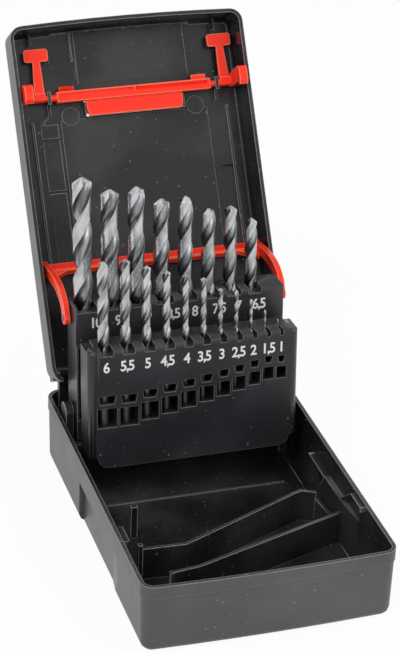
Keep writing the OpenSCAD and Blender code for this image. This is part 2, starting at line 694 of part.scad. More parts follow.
// Rectangle from [x0, y0] to [x1, y1] with corners of radius r
function rounded(x0, y0, x1, y1, r) = [for (c = [[x1 - r, y1 - r, 0], [x0 + r, y1 - r, 90],
    [x0 + r, y0 + r, 180], [x1 - r, y0 + r, 270]]) for (a = [0:30:90])
        [c[0] + r * cos(c[2] + a), c[1] + r * sin(c[2] + a)]];
module latch() {
    b = beam_b;
    h = lid_h - latch_up;
    color(red) lid_frame() translate([0, latch_y, latch_z])
    difference() {
        union() {
            // Journals
            x_cyl(latch_d, -hook_x1, hook_x1);
            translate([latch_shift, 0, 0]) {
                // Thick middle
                translate([-beam_l / 2, -b, -b]) cube([beam_l, 2 * b, 2 * b]);
                // Push pad that fills the window of the lid, and its lip
                translate([-pad_w / 2, b - 1, -1.2]) cube([pad_w, 2, 2.4]);
                translate([-pad_w / 2, b - 0.5, -1.2]) linear_extrude(1.8)
                    polygon([[-0.7, 0], [pad_w + 0.7, 0], [pad_w + 0.7, pad_l - 2],
                             [pad_w - 0.4, pad_l + pad_lip + 0.5], [0.4, pad_l + pad_lip + 0.5],
                             [-0.7, pad_l - 2]]);
                translate([-pad_w / 2, b, -1.2]) cube([pad_w, 2, h + 1]);
                translate([-pad_w / 2, b, h - 2.2]) cube([pad_w, pad_l, 2]);
                translate([-pad_w / 2, b + pad_l - 1.8, -1.2]) cube([pad_w, 1.8, h + 1]);
                // Stop tabs on the front side
                both_sides() translate([beam_l / 2 - 9.9, -b - 2.8, -1]) cube([8, 4, 1.8]);
                both_sides() spring_arm();
            }
            both_sides() latch_hook();
        }
        // Two long grooves along the inner face of the beam
        translate([latch_shift, 0, 0]) for (x = [-beam_l / 2 + 1.5, 0.8])
            translate([x, -b + 0.8, -b - 1]) cube([beam_l / 2 - 2.3, 2, 2.6]);
    }
}
// Hook outline, from the journal down to the rounded nose under the catch
module latch_hook() {
    low = -latch_up - hook_reach;
    nose = 2.6 - 0.5 + hook_bite;
    side_plate(hook_x0, hook_x1, concat(
        [[-4.6, -4], [-2.6, 2.4], [2.4, 2.4], [2.1, low + 3], [nose, low + 3], [nose, low + 2]],
        [for (a = [-50:-20:-90]) [1.2 + 2.4 * cos(a), low + 2.6 + 2.4 * sin(a)]],
        [for (a = [-90:-20:-190]) [-3.4 + 2.6 * cos(a), low + 2.8 + 2.6 * sin(a)]]));
}
// Leaf of the spring arm with its rounded cross-head
module spring_arm() {
    translate([beam_l / 2, 0, -0.4]) linear_extrude(spring_t) {
        polygon([[5.9, 0], [6.4, -21], [10.4, -21], [11.9, 0]]);
        polygon(rounded(1.7, -26.8, 14.9, -20, 1.4));
    }
    translate([beam_l / 2 + 5.9, -3, -latch_d / 2]) cube([6, 3, latch_d]);
}

// ---- pieces ---------------------------------------------------------------------
base_shell();
lid_shell();
hinge_pin_left();
hinge_pin_right();
front_rack();
back_rack();
bail();
latch();
front_bit(10);  // bit_1_0
front_bit(9);  // bit_1_5
front_bit(8);  // bit_2_0
front_bit(7);  // bit_2_5
front_bit(6);  // bit_3_0
front_bit(5);  // bit_3_5
front_bit(4);  // bit_4_0
front_bit(3);  // bit_4_5
front_bit(2);  // bit_5_0
front_bit(1);  // bit_5_5
front_bit(0);  // bit_6_0
back_bit(7);  // bit_6_5
back_bit(6);  // bit_7_0
back_bit(5);  // bit_7_5
back_bit(4);  // bit_8_0
back_bit(3);  // bit_8_5
back_bit(2);  // bit_9_0
back_bit(1);  // bit_9_5
back_bit(0);  // bit_10_0
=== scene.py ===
# %% [markdown]
# # A folding case for nineteen twist drills
#
# This file dresses a solid model of the case for a picture. The solid model
# gives every size and place. The cells below add what a solid model leaves
# out: ground flutes on the drills, printed sizes, pins with rounded ends, and
# plastic and steel that react to light as the real ones do.

# %% Load the solid model
import math
import bpy
import bmesh
from mathutils import Matrix, Vector


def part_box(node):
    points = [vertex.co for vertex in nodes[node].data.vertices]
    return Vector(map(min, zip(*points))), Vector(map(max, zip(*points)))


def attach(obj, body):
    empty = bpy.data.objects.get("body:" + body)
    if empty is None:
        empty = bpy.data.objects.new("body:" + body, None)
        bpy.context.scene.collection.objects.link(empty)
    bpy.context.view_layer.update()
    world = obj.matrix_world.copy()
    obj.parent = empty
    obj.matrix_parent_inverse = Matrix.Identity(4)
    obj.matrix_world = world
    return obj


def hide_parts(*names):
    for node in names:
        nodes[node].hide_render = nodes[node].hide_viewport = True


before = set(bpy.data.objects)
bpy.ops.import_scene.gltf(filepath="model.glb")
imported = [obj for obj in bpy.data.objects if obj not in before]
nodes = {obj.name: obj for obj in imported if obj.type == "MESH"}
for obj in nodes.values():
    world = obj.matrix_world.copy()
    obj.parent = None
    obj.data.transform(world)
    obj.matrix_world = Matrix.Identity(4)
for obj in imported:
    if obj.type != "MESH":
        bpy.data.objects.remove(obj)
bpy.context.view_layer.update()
MM = 0.001


def brief(point, digits=4):
    """A point with few digits, for printing."""
    return tuple(round(c, digits) for c in point)


# %% [markdown]
# ## Two places to work in
#
# The holder leans back a little on its stubs, and the lid hangs open on its
# pins. It is easiest to think of each of them upright, as on a bench, and to
# turn the work into place at the end. The place then goes into the mesh, so
# the object itself stays unturned.

# %% Frames of the holder and the lid
HOLDER_PIVOT, HOLDER_STUB = Vector((0, 0.0652, 0.0412)), Vector((0, 0.03285, 0.0185))
LID_HINGE = Vector((0, 0.0882, 0.0512))
HOLDER_LEAN, LID_OPEN = 4.5, 122


def hung(at, degrees, pivot):
    """Place of a piece whose own pivot sits at a point of the case, turned back about X."""
    return (Matrix.Translation(at) @ Matrix.Rotation(math.radians(-degrees), 4, "X")
            @ Matrix.Translation(-pivot))


HOLDER = hung(HOLDER_PIVOT, HOLDER_LEAN, HOLDER_STUB)
LID = hung(LID_HINGE, LID_OPEN, LID_HINGE)
print("a point 66 mm up the holder stands at", brief(HOLDER @ Vector((0, 0, 0.066))))

# %% [markdown]
# ## Shader maths in plain expressions
#
# A material is a small graph of nodes. It could be wired by hand, one link a
# line, but the sums would be hard to read. So `Wire` wraps one socket, and
# `grain * 0.3 + 0.2` adds the two Math nodes that it needs. Any other node
# comes from `Graph.node`, and `Finish` starts a material.

# %% Wires
class Wire:
    """One value in a graph, which can be added, subtracted and multiplied."""

    def __init__(self, graph, socket):
        self.graph, self.socket = graph, socket

    def _math(self, operation, first, second):
        return self.graph.node("ShaderNodeMath", {"operation": operation}, {0: first, 1: second})

    def __add__(self, other): return self._math("ADD", self, other)
    def __radd__(self, other): return self._math("ADD", other, self)
    def __sub__(self, other): return self._math("SUBTRACT", self, other)
    def __rsub__(self, other): return self._math("SUBTRACT", other, self)
    def __mul__(self, other): return self._math("MULTIPLY", self, other)
    def __rmul__(self, other): return self._math("MULTIPLY", other, self)


class Graph:
    """The nodes of one material or world."""

    def __init__(self, tree):
        self.tree = tree

    def node(self, kind, settings=None, sockets=None, out=0):
        """Adds a node, sets its settings, then fills or links its sockets."""
        new = self.tree.nodes.new(kind)
        for key, value in (settings or {}).items():
            setattr(new, key, value)
        for key, value in (sockets or {}).items():
            self.feed(new.inputs[key], value)
        return Wire(self, new.outputs[out])

    def feed(self, socket, value):
        """Links a wire to a socket, or writes a plain value on it."""
        if isinstance(value, Wire):
            self.tree.links.new(value.socket, socket)
        elif isinstance(value, tuple) and socket.type == "RGBA":
            socket.default_value = (*value, 1)
        else:
            socket.default_value = value

# %% [markdown]
# ## What every finish needs
#
# Real surfaces are never even, so each finish starts from noise. A mask of the convex edges tells
# where hands have polished a piece, and where a finish paints a highlight along its edges. It
# compares the true surface with one whose edges are rounded: they differ only at edges and in
# corners, and the corners drop out because little open air reaches them.

# %% Finishes
EDGE_SAMPLES, CORNER_REACH = 6, 0.0025
BENT, OPEN_AIR = (0.004, 0.10), (0.55, 0.85)


class Finish(Graph):
    """A material under construction, laid out on its piece's own coordinates."""

    def __init__(self, name):
        self.material = bpy.data.materials.new(name)
        self.material.use_nodes = True
        super().__init__(self.material.node_tree)
        self.shader = self.tree.nodes["Principled BSDF"]
        self.here = self.node("ShaderNodeTexCoord", out="Object")

    def blend(self, share, first, second):
        """Mixes two colours."""
        return self.node("ShaderNodeMix", {"data_type": "RGBA"},
                         {0: share, 6: first, 7: second}, out=2)

    def noise(self, scale, detail, stretch=None, at=None):
        """Noise of so many cells per metre, stretched or read elsewhere where asked."""
        at = at or self.here
        if stretch:
            at = self.node("ShaderNodeMapping", {}, {"Vector": at, "Scale": stretch})
        return self.node("ShaderNodeTexNoise", {}, {"Vector": at, "Scale": scale, "Detail": detail})

    def step(self, value, low, high):
        """A soft step from 0 to 1 as a value goes from low to high."""
        return self.node("ShaderNodeMapRange", {"interpolation_type": "SMOOTHSTEP"},
                         {"Value": value, "From Min": low, "From Max": high})

    def rounded(self, radius):
        """The surface's direction, as if its edges had a radius."""
        return self.node("ShaderNodeBevel", {"samples": EDGE_SAMPLES}, {"Radius": radius})

    def edge(self, radius):
        """1 along convex edges and 0 elsewhere."""
        rounded = self.rounded(radius)
        flat = self.node("ShaderNodeNewGeometry", out="Normal")
        agree = self.node("ShaderNodeVectorMath", {"operation": "DOT_PRODUCT"},
                          {0: rounded, 1: flat}, out="Value")
        open_air = self.node("ShaderNodeAmbientOcclusion",
                             {"samples": EDGE_SAMPLES, "only_local": True},
                             {"Distance": CORNER_REACH}, out="AO")
        return self.step(1 - agree, *BENT) * self.step(open_air, *OPEN_AIR)

    def relief(self, height, depth, rounding=None):
        """Fine relief, and edges that catch the light as rounded ones do."""
        sockets = {"Height": height, "Distance": depth, "Strength": 1.0}
        if rounding:
            sockets["Normal"] = self.rounded(rounding)
        self.set(Normal=self.node("ShaderNodeBump", {}, sockets))

    def set(self, **sockets):
        """Feeds sockets of the shader, named with _ for each space."""
        for key, value in sockets.items():
            self.feed(self.shader.inputs[key.replace("_", " ")], value)

# %% [markdown]
# ## Black moulded plastic
#
# Inside, the case comes from a polished tool. It mirrors the room softly,
# and its faces undulate a little where the plastic shrank. Outside, the tool
# was etched, so the walls carry a matt grain and look a shade lighter.
# Handling leaves hairlines, dust and polished edges, and a painted highlight lightens the convex
# edges to grey. One function makes all three blacks, since they differ only in shade, gloss, grain
# and painted highlight.

# %% Case plastic
DUST_GREY, PAINTED_HIGHLIGHT_GREY = (0.20, 0.20, 0.195), (0.46, 0.46, 0.455)
WEAR_AND_HIGHLIGHT_WIDTH, EDGE_RADIUS, PLASTIC_RELIEF = 0.0006, 0.0005, 0.00006


def black_plastic(name, colour, haze, roughness, grain, highlight_strength):
    """Plastic from one shade to a hazier one, with its gloss, grain, polish of edges and a painted
    highlight along them.
    """
    f = Finish(name)
    fine = f.noise(2600, 3)
    broad = f.noise(48, 2)
    cloud = f.step(f.noise(26, 3), 0.36, 0.70)
    hairline = f.noise(300, 4, stretch=(1.0, 14.0, 1.5))
    scratch = f.step(hairline, 0.62, 0.70)
    dust = f.step(f.noise(900, 5), 0.64, 0.78)
    speck = f.step(f.noise(460, 1), 0.735, 0.775)
    # Edge mask: real polish in the roughness, and a painted highlight in the colour.
    wear_and_painted_highlight = f.edge(WEAR_AND_HIGHLIGHT_WIDTH)
    hazy = f.blend(cloud, colour, haze)
    dusty = f.blend(dust * 0.25 + speck * 0.75, hazy, DUST_GREY)
    rough = roughness + (broad - 0.5) * 0.14 + scratch * 0.06 + dust * 0.10 - wear_and_painted_highlight * 0.06
    # Painted highlight: the colour turns light grey along convex edges.
    f.set(Base_Color=f.blend(wear_and_painted_highlight * highlight_strength, dusty, PAINTED_HIGHLIGHT_GREY), Roughness=rough, IOR=1.42)
    f.relief(fine * grain + broad * 1.4 + scratch * 0.12, PLASTIC_RELIEF, rounding=EDGE_RADIUS)
    return f.material


case_plastic = black_plastic(
    "case_plastic", (0.0110, 0.0110, 0.0115), (0.034, 0.034, 0.0335),
    roughness=0.24, grain=0.20, highlight_strength=0.85)
outer_plastic = black_plastic(
    "outer_plastic", (0.068, 0.066, 0.068), (0.088, 0.086, 0.087),
    roughness=0.40, grain=0.60, highlight_strength=0.50)
holder_plastic = black_plastic(
    "holder_plastic", (0.0175, 0.0158, 0.0195), (0.034, 0.031, 0.037),
    roughness=0.34, grain=0.35, highlight_strength=0.42)
print("nodes:", {m.name: len(m.node_tree.nodes)
                 for m in (case_plastic, outer_plastic, holder_plastic)})

# %% [markdown]
# ## Red latch and bail
#
# These are moulded in a saturated red-orange. Light enters such plastic a little, so thin edges
# look brighter and more orange than broad faces. A true glow inside the plastic is slow to render,
# so most of it is painted with the edge mask. The same mask paints the highlights that the rounded
# edges catch, so the orange along the edges is painted glow and painted highlight together.

# %% Red plastic
DEEP_RED, FLOW_RED, PAINTED_EDGE_ORANGE = (1.0, 0.030, 0.009), (1.0, 0.055, 0.018), (1.0, 0.36, 0.20)
PAINTED_EDGE_WIDTH, RED_RADIUS, RED_RELIEF = 0.0011, 0.0006, 0.00005


def red_plastic():
    f = Finish("red_plastic")
    broad = f.noise(90, 2)
    fine = f.noise(2400, 2)
    flow = f.step(f.noise(160, 3, stretch=(0.25, 1.0, 1.0)), 0.45, 0.75)
    painted_edge_light = f.edge(PAINTED_EDGE_WIDTH)
    deep = f.blend(flow * 0.35, DEEP_RED, FLOW_RED)
    # Painted glow and painted highlight: the red turns orange along convex edges.
    f.set(Base_Color=f.blend(painted_edge_light * 0.7, deep, PAINTED_EDGE_ORANGE),
          Roughness=0.27 + (broad - 0.5) * 0.14, IOR=1.40, Subsurface_Weight=0.08,
          Subsurface_Scale=0.0012, Subsurface_Radius=Vector((1.0, 0.25, 0.1)))
    f.relief(fine * 0.2 + broad, RED_RELIEF, rounding=RED_RADIUS)
    return f.material


red = red_plastic()
print("nodes:", {red.name: len(red.node_tree.nodes)})

# %% [markdown]
# ## Steel
#
# A drill's flutes and lands are ground, so they shine softly, with fine lines along the path of the
# wheel. That path winds round the drill, so the lines are read off an attribute that each drill
# carries. The flutes are a little rougher, and their steel is painted darker: painted shade for the
# shadow in the hollows and the dark that they mirror. The shanks, which stand inside the racks, are
# turned, and their steel is painted darker still: painted shade for the shadow inside the racks.
# The hinge pins are drawn wire, with lines along them.

# %% Drill steel and pin steel
STEEL_RELIEF, STEEL_EDGE = 0.00003, 0.0001


def steel(name, colour, dark, roughness, lines):
    """Metal from a bright shade to a dark one along its lines."""
    f = Finish(name)
    streak = lines(f)
    stain = f.step(f.noise(140, 4), 0.42, 0.72)
    f.set(Base_Color=f.blend(f.step(streak + stain * 0.12, 0.36, 0.74), colour, dark),
          Metallic=1.0, Roughness=roughness + (streak - 0.5) * 0.16 + stain * 0.06)
    f.relief(streak, STEEL_RELIEF, rounding=STEEL_EDGE)
    return f.material


def ground_lines(f):
    """Fine and coarse lines along the flute, read off the drill's own attribute."""
    path = f.node("ShaderNodeAttribute", {"attribute_name": "grind"}, out="Vector")
    return f.noise(1100, 2, at=path) * 0.4 + f.noise(330, 1, at=path) * 0.6


def turned_lines(f):
    """Fine lines round a turned shank."""
    return f.noise(2200, 3, stretch=(1, 1, 0.35))


def drawn_lines(f):
    """Fine lines along a drawn wire that lies across the case."""
    return f.noise(2600, 3, stretch=(0.08, 1, 1))


land_steel = steel("drill_steel", (0.62, 0.63, 0.645), (0.30, 0.305, 0.315), 0.26, ground_lines)
# Painted shade: the flute steel is darker than the lands for the shadow in the hollows.
shaded_flute_steel = steel("drill_flute_steel", (0.42, 0.427, 0.44), (0.15, 0.153, 0.16), 0.29,
                    ground_lines)
# Painted shade: the shank steel is dark for the shadow inside the racks.
shaded_shank_steel = steel("shaded_shank_steel", (0.16, 0.163, 0.17), (0.09, 0.092, 0.096), 0.42, turned_lines)
pin_steel = steel("pin_steel", (0.50, 0.50, 0.51), (0.38, 0.38, 0.39), 0.30, drawn_lines)
print("nodes:", {m.name: len(m.node_tree.nodes)
                 for m in (land_steel, shaded_flute_steel, shaded_shank_steel, pin_steel)})

# %% [markdown]
# ## White printed sizes
#
# The sizes are pad printed. The ink is matt and slightly uneven, and greyer
# at a few places where it has worn thin.

# %% Printing ink
INK_WHITE, INK_WORN, INK_RELIEF = (0.80, 0.80, 0.79), (0.66, 0.66, 0.66), 0.00002


def printing_ink():
    f = Finish("printing_ink")
    patch = f.step(f.noise(1500, 3), 0.35, 0.7)
    f.set(Base_Color=f.blend(patch * 0.3, INK_WHITE, INK_WORN), Roughness=0.55 + patch * 0.15)
    f.relief(f.noise(3000, 2), INK_RELIEF)
    return f.material


ink = printing_ink()
print("nodes:", {ink.name: len(ink.node_tree.nodes)})

# %% [markdown]
# ## Bench habits
#
# An operator works on everything that is selected, and loading the solids
# leaves them all selected. So each step first clears the selection and then
# takes one object. A finished piece has its place baked into its mesh, so
# that a pattern that reads its coordinates stays put.

# %% Taking, settling and dressing a piece
def clear():
    """Leaves edit mode, with nothing selected."""
    if bpy.context.object and bpy.context.object.mode != "OBJECT":
        bpy.ops.object.mode_set(mode="OBJECT")
    bpy.ops.object.select_all(action="DESELECT")


def take(piece):
    """Makes one object the only selected one."""
    clear()
    piece.select_set(True)
    bpy.context.view_layer.objects.active = piece
    return piece


def settle(piece, place=None, smooth=30):
    """Turns a piece into place, bakes the place into its mesh and smooths its curves."""
    take(piece)
    if place is not None:
        piece.matrix_world = place @ piece.matrix_world
    bpy.ops.object.transform_apply(location=True, rotation=True, scale=True)
    bpy.ops.object.shade_smooth_by_angle(angle=math.radians(smooth))
    return piece


def apply_modifier(piece, kind, **values):
    """Adds one modifier with its values and applies it."""
    take(piece)
    modifier = piece.modifiers.new(kind.lower(), kind)
    for key, value in values.items():
        setattr(modifier, key, value)
    bpy.ops.object.modifier_apply(modifier=modifier.name)


def put(piece, *materials):
    """Gives a piece its materials in place of those it has."""
    piece.data.materials.clear()
    for material in materials:
        piece.data.materials.append(material)


print("selected after loading:", len(bpy.context.selected_objects))
clear()
print("selected once cleared:", len(bpy.context.selected_objects))

# %% [markdown]
# ## The mouldings
#
# The solids of the shells, racks, bail and latch have the right shape, but
# their meshes are loose triangles with flat shading, so a rounded corner
# shows its facets. A copy is welded and its flat faces are joined again.
# Smoothing by angle then makes curves round and leaves true edges crisp, and
# normals weighted by area keep the broad faces flat to their edges.

# %% Welded copies of the mouldings
SAME_PLACE, SAME_PLANE, CURVE = 2e-6, math.radians(0.3), 36


def moulding(node, name):
    """A welded copy of a solid, shaded as a moulding."""
    piece = bpy.data.objects.new(name, nodes[node].data.copy())
    bpy.context.scene.collection.objects.link(piece)
    take(piece)
    bpy.ops.object.mode_set(mode="EDIT")
    bpy.ops.mesh.select_all(action="SELECT")
    bpy.ops.mesh.remove_doubles(threshold=SAME_PLACE)
    bpy.ops.mesh.dissolve_limited(angle_limit=SAME_PLANE)
    settle(piece, smooth=CURVE)
    apply_modifier(piece, "WEIGHTED_NORMAL", mode="FACE_AREA", weight=100, keep_sharp=True)
    return piece


mouldings = {}
for node, name, body, material, slot in (
        ("base_shell", "base_moulding", "base", case_plastic, "case_plastic"),
        ("lid_shell", "lid_moulding", "lid", case_plastic, "case_plastic"),
        ("front_rack", "front_rack_moulding", "holder", holder_plastic, "holder_plastic"),
        ("back_rack", "back_rack_moulding", "holder", holder_plastic, "holder_plastic"),
        ("bail", "bail_moulding", "bail", red, "red_plastic"),
        ("latch", "latch_moulding", "latch", red, "red_plastic")):
    piece = mouldings[node] = moulding(node, name)
    put(piece, material)
    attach(piece, body)
    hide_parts(node)
print("faces:", {node: len(piece.data.polygons) for node, piece in mouldings.items()})

# %% [markdown]
# ## Two surfaces on one moulding
#
# The polished inside and the matt outside belong to one moulding, so each
# shell carries two materials. Its outer faces could be painted by hand. Here
# they are found by place and slope, which stays right when a size changes. On
# the lid this is done with the case closed, where its outside is easy to say.

# %% Matt outside, polished inside
HALF_SIZE = (0.064, 0.094)
CLOSED_HEIGHT = 0.058
WALL, SKIN, SLOPE = 0.0026, 0.0012, 0.3
RECESS_SIDE, RECESS_FRONT, RECESS_BACK, RECESS_TOP = 0.0565, -0.03, 0.04, 0.0285


def on_wall(centre, normal):
    """Whether a face lies in an outer wall and looks outwards."""
    return any(abs(place) > half - WALL and slope * place > SLOPE * abs(place)
               for place, slope, half in zip(centre, normal, HALF_SIZE))


def in_recess(centre, normal):
    """Whether a face lines one of the base's finger recesses."""
    return (abs(centre.x) > RECESS_SIDE and RECESS_FRONT < centre.y < RECESS_BACK
            and centre.z < RECESS_TOP and normal.x * centre.x > 0)


for node, place, level in (("base_shell", Matrix(), 0.0), ("lid_shell", LID, CLOSED_HEIGHT)):
    shell = mouldings[node].data
    shell.materials.append(outer_plastic)
    closed = place.inverted()
    found = 0
    for face in shell.polygons:
        centre, normal = closed @ face.center, closed.to_3x3() @ face.normal
        if on_wall(centre, normal) or in_recess(centre, normal) or abs(centre.z - level) < SKIN:
            face.material_index = 1
            found += 1
    print(node, "outer faces:", found)

# %% [markdown]
# ## Section of a twist drill
#
# A twist drill is a cylinder with two grooves that wind round it. It could be
# cut from a rod with booleans, but nineteen of them would be slow and leave
# ragged edges. Instead, the section across it is drawn once, on the vertices
# of a circle: two lands, each with a narrow raised margin in front, and two
# flutes, each a wide round hollow that leaves a thin web in the middle.

# %% Half a section, in shares of the radius
MARGIN = [(-44, 1.0), (-36, 1.0), (-34.5, 0.965)]
BACK_OF_LAND = 44
FLUTE_SPAN = 180 + MARGIN[0][0] - BACK_OF_LAND
FLUTE_OUT, FLUTE_R, FLUTE_HALF = 0.925, 0.755, 72.2


def on_circle(degrees, r):
    a = math.radians(degrees)
    return Vector((math.cos(a), math.sin(a), 0)) * r


def section(r, land_points, flute_points):
    """Half of the outline, as pairs of the ground place and the place on the full circle."""
    start, share = MARGIN[-1]
    land = MARGIN + [(start + (BACK_OF_LAND - start) * k / land_points, share)
                     for k in range(1, land_points + 1)]
    pairs = [(on_circle(degrees, r) * share, on_circle(degrees, r)) for degrees, share in land]
    for k in range(1, flute_points + 1):
        part = k / (flute_points + 1)
        b = math.radians(FLUTE_HALF * (1 - 2 * part))
        ground = Vector((FLUTE_R * math.sin(b), FLUTE_OUT - FLUTE_R * math.cos(b), 0)) * r
        pairs.append((ground, on_circle(BACK_OF_LAND + FLUTE_SPAN * part, r)))
    return pairs


print("web of a 10 mm drill:", round(10 * (FLUTE_OUT - FLUTE_R), 2), "mm")

# %% [markdown]
# ## Starting from a primitive
#
# A new primitive is named and taken. Its vertices and faces are then chosen
# by where they are, which is what a hand with a mouse does too. Work that
# closes a shape ends with a weld, so that no seam is left open.

# %% Naming, choosing and welding
def fresh(name):
    """Names what a primitive operator has just made."""
    piece = bpy.context.object
    piece.name = piece.data.name = name
    return take(piece)


def choose(piece, kind, test):
    """Selects the vertices or faces that pass a test."""
    take(piece)
    bpy.ops.object.mode_set(mode="EDIT")
    bpy.ops.mesh.select_mode(type={"verts": "VERT", "faces": "FACE"}[kind])
    bpy.ops.mesh.select_all(action="DESELECT")
    mesh = bmesh.from_edit_mesh(piece.data)
    for part in getattr(mesh, kind):
        if test(part):
            part.select_set(True)
    mesh.select_flush_mode()
    bmesh.update_edit_mesh(piece.data)


def weld(piece):
    """Merges double vertices and turns every face outwards."""
    take(piece)
    bpy.ops.object.mode_set(mode="EDIT")
    bpy.ops.mesh.select_all(action="SELECT")
    bpy.ops.mesh.remove_doubles(threshold=1e-6)
    bpy.ops.mesh.normals_make_consistent(inside=False)
    bpy.ops.object.mode_set(mode="OBJECT")

# %% [markdown]
# ## Winding the section
#
# A Screw modifier winds the section up the axis. At the foot of a real flute
# the wheel runs out of the metal, so the lowest turns go back out to the full
# circle. Every vertex also notes where it lies on the wheel's path, which is
# what the steel's fine lines are read from.

# %% Fluted length of a drill, in shares of its diameter
PITCH, RUN_OUT, POINT = 5.4, 1.3, 0.30
LEAST_STEPS, STEP_DEGREES, RUN_OUT_CURVE = 14, 10, 1.6
PATH_ROUND, PATH_ALONG = 3, 0.04


def wind(name, d, flute, around):
    """Winds a closed section of diameter d up from the origin, open at both ends."""
    clear()
    bpy.ops.mesh.primitive_circle_add(vertices=len(around), radius=d / 2, location=(0, 0, 0))
    piece = fresh(name)
    for vertex, (ground, _) in zip(piece.data.vertices, around):
        vertex.co = ground
    turn = 360 * flute / (PITCH * d)
    steps = max(LEAST_STEPS, round(turn / STEP_DEGREES))
    apply_modifier(piece, "SCREW", angle=math.radians(turn), screw_offset=flute - POINT * d,
                   steps=steps, render_steps=steps, axis="Z", use_normal_calculate=True)
    return piece


def run_out(piece, d, low, around):
    """Lifts the fluted length to its place and takes its lowest rings out to the circle."""
    count, vertices = len(around), piece.data.vertices
    path = piece.data.attributes.new("grind", "FLOAT_VECTOR", "POINT")
    for ring in range(len(vertices) // count):
        start = vertices[ring * count].co.copy()
        turned = math.atan2(start.y, start.x) - math.radians(MARGIN[0][0])
        spin = Matrix.Rotation(turned, 3, "Z")
        out = max(0.0, 1 - start.z / (RUN_OUT * d)) ** RUN_OUT_CURVE
        for i, (ground, full) in enumerate(around):
            k = ring * count + i
            vertices[k].co = spin @ ground.lerp(full, out) + Vector((0, 0, start.z + low))
            path.data[k].vector = (i / count * d * PATH_ROUND, start.z * PATH_ALONG, d)


print("pitch of a 10 mm drill:", 10 * PITCH, "mm")

# %% [markdown]
# ## Point, shank and three steels
#
# The ends are extruded from the wound length. The top shrinks to a short
# chisel edge, and the bottom goes down as a plain shank to a small chamfer.
# Flutes, lands and shank then get a steel each, told apart by their vertices
# and their height. A thin drill needs fewer points round its section than a
# thick one.

# %% Drill, from foot to point
CHISEL, POINT_SHARE = 0.16, 0.92
CHAMFER, CHAMFER_SHRINK = 0.06, 0.86
LAND, FLUTE, SHANK = 0, 1, 2
FLUTE_STARTS = 0.35
THICK = 0.0035
MANY_POINTS, FEW_POINTS = (5, 13), (3, 7)


def extrude(rise):
    bpy.ops.mesh.extrude_region_move(TRANSFORM_OT_translate={"value": (0, 0, rise)})


def close_ends(piece, d, low, high):
    """Extrudes the point and the shank, and closes both."""
    choose(piece, "verts", lambda v: v.co.z > high - 1e-6)
    extrude(POINT * d * POINT_SHARE)
    bpy.ops.transform.resize(value=(CHISEL, CHISEL, 1))
    bpy.ops.mesh.edge_face_add()
    choose(piece, "verts", lambda v: v.co.z < low + 1e-6)
    extrude(-(low - CHAMFER * d))
    extrude(-CHAMFER * d)
    bpy.ops.transform.resize(value=(CHAMFER_SHRINK, CHAMFER_SHRINK, 1))
    bpy.ops.mesh.edge_face_add()
    weld(piece)


def twist_drill(name, d, total, flute):
    """A drill that stands on the origin."""
    low, high = total - flute, total - POINT * d
    land_points, flute_points = MANY_POINTS if d > THICK else FEW_POINTS
    half = section(d / 2, land_points, flute_points)
    back = Matrix.Rotation(math.pi, 3, "Z")
    around = half + [(back @ ground, back @ full) for ground, full in half]
    piece = wind(name, d, flute, around)
    run_out(piece, d, low, around)
    # The flute and shank steels carry painted shade.
    put(piece, land_steel, shaded_flute_steel, shaded_shank_steel)
    first_flute = len(half) - flute_points
    for face in piece.data.polygons:
        hollow = any(v % len(half) >= first_flute for v in face.vertices)
        fluted = face.center.z > low + FLUTE_STARTS * (RUN_OUT * d)
        face.material_index = FLUTE if hollow and fluted else LAND
    close_ends(piece, d, low, high)
    for face in piece.data.polygons:
        if face.center.z < low:
            face.material_index = SHANK
        elif face.center.z >= high:
            face.material_index = LAND
    return piece


print("vertices round a drill:", [2 * len(section(1, *n)) for n in (FEW_POINTS, MANY_POINTS)])

# %% [markdown]
# ## Nineteen drills in their bores
#
# Twist drills come in standard lengths, so two short tables give the overall
# length and the fluted length of each size. A drill is built upright, leaned
# with the holder and set where the solid has its foot. Each has its own mesh,
# because each slides out of its bore by itself.

# %% Drills from 1 mm to 10 mm
AXIS = (HOLDER.to_3x3() @ Vector((0, 0, 1))).normalized()
LENGTHS = [34, 40, 49, 57, 61, 70, 75, 80, 86, 93, 93, 101, 109, 109, 117, 117, 125, 125, 133]
FLUTES = [12, 18, 24, 30, 33, 39, 43, 47, 52, 57, 57, 63, 69, 69, 75, 75, 81, 81, 87]
DRILL_CURVE = 32


def place_of(node):
    """Middle of a drill's foot, read off its solid."""
    points = [v.co.copy() for v in nodes[node].data.vertices]
    low = min(p.dot(AXIS) for p in points)
    foot = [p for p in points if p.dot(AXIS) < low + 1e-5]
    across = AXIS.cross(Vector((1, 0, 0)))
    x, y = [p.x for p in foot], [p.dot(across) for p in foot]
    return (Vector(((min(x) + max(x)) / 2, 0, 0)) + AXIS * low
            + across * (min(y) + max(y)) / 2)


for k, (length, fluted) in enumerate(zip(LENGTHS, FLUTES)):
    d = 1 + k / 2
    node = "bit_%d_%d" % (int(d), round(d % 1 * 10))
    drill = twist_drill("drill_" + node[4:], d * MM, length * MM, fluted * MM)
    lean = Matrix.Translation(place_of(node)) @ HOLDER.to_3x3().to_4x4()
    settle(drill, lean, smooth=DRILL_CURVE)
    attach(drill, node)
    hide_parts(node)
print("faces on", drill.name + ":", len(drill.data.polygons))

# %% [markdown]
# ## Hinge pins
#
# Each pin is a length of wire, cut and tumbled, so its ends are rounded. A
# cylinder of the right size gets both rims bevelled in three small steps.

# %% Pins with rounded ends
PIN_SIDES, PIN_RIM = 40, 0.0004

